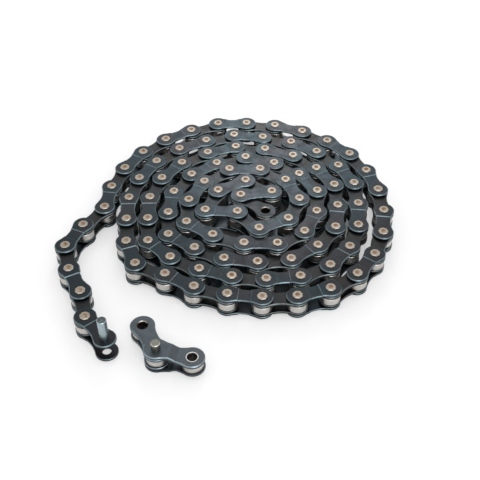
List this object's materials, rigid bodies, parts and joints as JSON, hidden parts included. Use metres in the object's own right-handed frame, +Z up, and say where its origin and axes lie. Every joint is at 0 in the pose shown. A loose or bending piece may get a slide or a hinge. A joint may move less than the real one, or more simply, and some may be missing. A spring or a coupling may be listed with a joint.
{
  "type": "roller chain",
  "caption": "Half-inch bicycle roller chain lying in a flat coil, its outer end open with a raised connecting pin, with a loose half link pinned to an inner link beside it.",
  "frame": {"origin": "middle of the footprint of the coil, the free end and the loose half link together, on the surface that they lie on", "axes": "+Z up, along the pins; +Y towards the back of the coil, away from the loose half link; +X to the right"},
  "size_m": [0.1322, 0.1386, 0.0179],
  "materials": {
    "outer_plate_steel": "blued and oiled steel, satin, with bright rounded edges",
    "inner_plate_steel": "dark oiled steel, satin",
    "roller_steel": "bare ground steel, slightly warm",
    "rivet_steel": "bare peened steel with a straw tint",
    "half_link_steel": "blue-grey steel, satin",
    "connecting_pin_steel": "ground blue-grey steel, end face dark",
    "stub_pin_steel": "grey-green oiled steel",
    "bushing_steel": "bright turned steel"
  },
  "bodies": {
    "coil": {"outer_plates_upper": "outer_plate_steel", "outer_plates_lower": "outer_plate_steel", "inner_plates_upper": "inner_plate_steel", "inner_plates_lower": "inner_plate_steel", "coil_rollers": "roller_steel", "coil_pins": "rivet_steel"},
    "inner_end": {"inner_end_plates": "inner_plate_steel", "inner_end_rollers": "roller_steel"},
    "tail_link_01": {"tail_link_01_plates": "inner_plate_steel", "tail_link_01_rollers": "roller_steel"},
    "tail_link_02": {"tail_link_02_plates": "outer_plate_steel", "tail_link_02_pins": "rivet_steel"},
    "tail_link_03": {"tail_link_03_plates": "inner_plate_steel", "tail_link_03_rollers": "roller_steel"},
    "tail_link_04": {"tail_link_04_plates": "outer_plate_steel", "tail_link_04_pins": "rivet_steel"},
    "tail_link_05": {"tail_link_05_plates": "inner_plate_steel", "tail_link_05_rollers": "roller_steel"},
    "tail_link_06": {"tail_link_06_plates": "outer_plate_steel", "tail_link_06_pins": "rivet_steel"},
    "tail_link_07": {"tail_link_07_plates": "inner_plate_steel", "tail_link_07_rollers": "roller_steel"},
    "tail_link_08": {"tail_link_08_plates": "outer_plate_steel", "tail_link_08_pins": "rivet_steel"},
    "tail_link_09": {"tail_link_09_plates": "inner_plate_steel", "tail_link_09_rollers": "roller_steel"},
    "tail_link_10": {"tail_link_10_plates": "outer_plate_steel", "tail_link_10_pins": "rivet_steel"},
    "tail_link_11": {"tail_link_11_plates": "inner_plate_steel", "tail_link_11_rollers": "roller_steel"},
    "tail_link_12": {"tail_link_12_plates": "outer_plate_steel", "tail_link_12_pins": "rivet_steel"},
    "tail_link_13": {"tail_link_13_plates": "inner_plate_steel", "tail_link_13_rollers": "roller_steel"},
    "tail_link_14": {"tail_link_14_plates": "outer_plate_steel", "tail_link_14_pins": "rivet_steel"},
    "tail_link_15": {"tail_link_15_plates": "inner_plate_steel", "tail_link_15_rollers": "roller_steel"},
    "tail_link_16": {"tail_link_16_plates": "outer_plate_steel", "tail_link_16_pins": "rivet_steel"},
    "tail_link_17": {"tail_link_17_plates": "inner_plate_steel", "tail_link_17_rollers": "roller_steel"},
    "tail_link_18": {"tail_link_18_plates": "outer_plate_steel", "tail_link_18_pins": "rivet_steel"},
    "connecting_pin": {"connecting_pin": "connecting_pin_steel"},
    "loose_inner_link": {"loose_inner_plate_upper": "half_link_steel", "loose_inner_plate_lower": "half_link_steel"},
    "loose_end_roller": {"loose_end_roller": "roller_steel"},
    "loose_hub_roller": {"loose_hub_roller": "roller_steel"},
    "half_link": {"half_link_plate_upper": "half_link_steel", "half_link_plate_lower": "half_link_steel", "half_link_bushing": "bushing_steel"},
    "half_link_roller": {"half_link_roller": "roller_steel"},
    "half_link_pin": {"half_link_pin": "stub_pin_steel"}
  },
  "joints": [
    {"name": "inner_end_hinge", "type": "hinge", "parent": "coil", "child": "inner_end", "pos_m": [0.00522, 0.01372, 0.007], "axis": [0, 0, 1], "range_deg": [-5, 5]},
    {"name": "tail_hinge_01", "type": "hinge", "parent": "coil", "child": "tail_link_01", "pos_m": [0.05778, 0.03147, 0.0045], "axis": [0, 0, 1], "range_deg": [-20, 0]},
    {"name": "tail_hinge_02", "type": "hinge", "parent": "tail_link_01", "child": "tail_link_02", "pos_m": [0.05191, 0.04273, 0.0045], "axis": [0, 0, 1], "range_deg": [-20, 0]},
    {"name": "tail_hinge_03", "type": "hinge", "parent": "tail_link_02", "child": "tail_link_03", "pos_m": [0.04312, 0.0519, 0.0045], "axis": [0, 0, 1], "range_deg": [-20, 0]},
    {"name": "tail_hinge_04", "type": "hinge", "parent": "tail_link_03", "child": "tail_link_04", "pos_m": [0.0326, 0.05901, 0.0045], "axis": [0, 0, 1], "range_deg": [-20, 0]},
    {"name": "tail_hinge_05", "type": "hinge", "parent": "tail_link_04", "child": "tail_link_05", "pos_m": [0.02072, 0.06351, 0.0045], "axis": [0, 0, 1], "range_deg": [-20, 0]},
    {"name": "tail_hinge_06", "type": "hinge", "parent": "tail_link_05", "child": "tail_link_06", "pos_m": [0.00814, 0.06524, 0.0045], "axis": [0, 0, 1], "range_deg": [-20, 0]},
    {"name": "tail_hinge_07", "type": "hinge", "parent": "tail_link_06", "child": "tail_link_07", "pos_m": [-0.00456, 0.06519, 0.0045], "axis": [0, 0, 1], "range_deg": [-20, 0]},
    {"name": "tail_hinge_08", "type": "hinge", "parent": "tail_link_07", "child": "tail_link_08", "pos_m": [-0.01635, 0.06045, 0.0045], "axis": [0, 0, 1], "range_deg": [-20, 0]},
    {"name": "tail_hinge_09", "type": "hinge", "parent": "tail_link_08", "child": "tail_link_09", "pos_m": [-0.02729, 0.05402, 0.0045], "axis": [0, 0, 1], "range_deg": [-20, 0]},
    {"name": "tail_hinge_10", "type": "hinge", "parent": "tail_link_09", "child": "tail_link_10", "pos_m": [-0.03647, 0.04524, 0.0045], "axis": [0, 0, 1], "range_deg": [-20, 0]},
    {"name": "tail_hinge_11", "type": "hinge", "parent": "tail_link_10", "child": "tail_link_11", "pos_m": [-0.04339, 0.03459, 0.0045], "axis": [0, 0, 1], "range_deg": [-20, 0]},
    {"name": "tail_hinge_12", "type": "hinge", "parent": "tail_link_11", "child": "tail_link_12", "pos_m": [-0.04768, 0.02263, 0.0045], "axis": [0, 0, 1], "range_deg": [-20, 0]},
    {"name": "tail_hinge_13", "type": "hinge", "parent": "tail_link_12", "child": "tail_link_13", "pos_m": [-0.04926, 0.01003, 0.0045], "axis": [0, 0, 1], "range_deg": [-20, 3]},
    {"name": "tail_hinge_14", "type": "hinge", "parent": "tail_link_13", "child": "tail_link_14", "pos_m": [-0.05658, -0.00035, 0.0045], "axis": [0, 0, 1], "range_deg": [-20, 4]},
    {"name": "tail_hinge_15", "type": "hinge", "parent": "tail_link_14", "child": "tail_link_15", "pos_m": [-0.06198, -0.01184, 0.0045], "axis": [0, 0, 1], "range_deg": [-20, 5]},
    {"name": "tail_hinge_16", "type": "hinge", "parent": "tail_link_15", "child": "tail_link_16", "pos_m": [-0.05894, -0.02418, 0.0045], "axis": [0, 0, 1], "range_deg": [-20, 7]},
    {"name": "tail_hinge_17", "type": "hinge", "parent": "tail_link_16", "child": "tail_link_17", "pos_m": [-0.0532, -0.03551, 0.0045], "axis": [0, 0, 1], "range_deg": [-20, 10]},
    {"name": "tail_hinge_18", "type": "hinge", "parent": "tail_link_17", "child": "tail_link_18", "pos_m": [-0.04995, -0.04778, 0.0045], "axis": [0, 0, 1], "range_deg": [-20, 30]},
    {"name": "connecting_pin_press", "type": "slide", "parent": "tail_link_18", "child": "connecting_pin", "axis": [0, 0, -1], "range_m": [0, 0.00745]},
    {"name": "loose_link_lift", "type": "slide", "parent": "coil", "child": "loose_inner_link", "axis": [0, 0, 1], "range_m": [0, 0.03]},
    {"name": "half_link_hinge", "type": "hinge", "parent": "loose_inner_link", "child": "half_link", "pos_m": [-0.02416, -0.06204, 0.00405], "axis": [0, 0, 1], "range_deg": [-100, 40]},
    {"name": "half_link_pin_press", "type": "slide", "parent": "half_link", "child": "half_link_pin", "axis": [0, 0, -1], "range_m": [0, 0.002]},
    {"name": "loose_end_roller_spin", "type": "hinge", "parent": "loose_inner_link", "child": "loose_end_roller", "pos_m": [-0.02966, -0.05059, 0.00405], "axis": [0, 0, 1], "continuous": true},
    {"name": "loose_hub_roller_spin", "type": "hinge", "parent": "loose_inner_link", "child": "loose_hub_roller", "pos_m": [-0.02416, -0.06204, 0.00405], "axis": [0, 0, 1], "continuous": true},
    {"name": "half_link_roller_spin", "type": "hinge", "parent": "half_link", "child": "half_link_roller", "pos_m": [-0.01178, -0.06489, 0.00405], "axis": [0, 0, 1], "continuous": true}
  ]
}
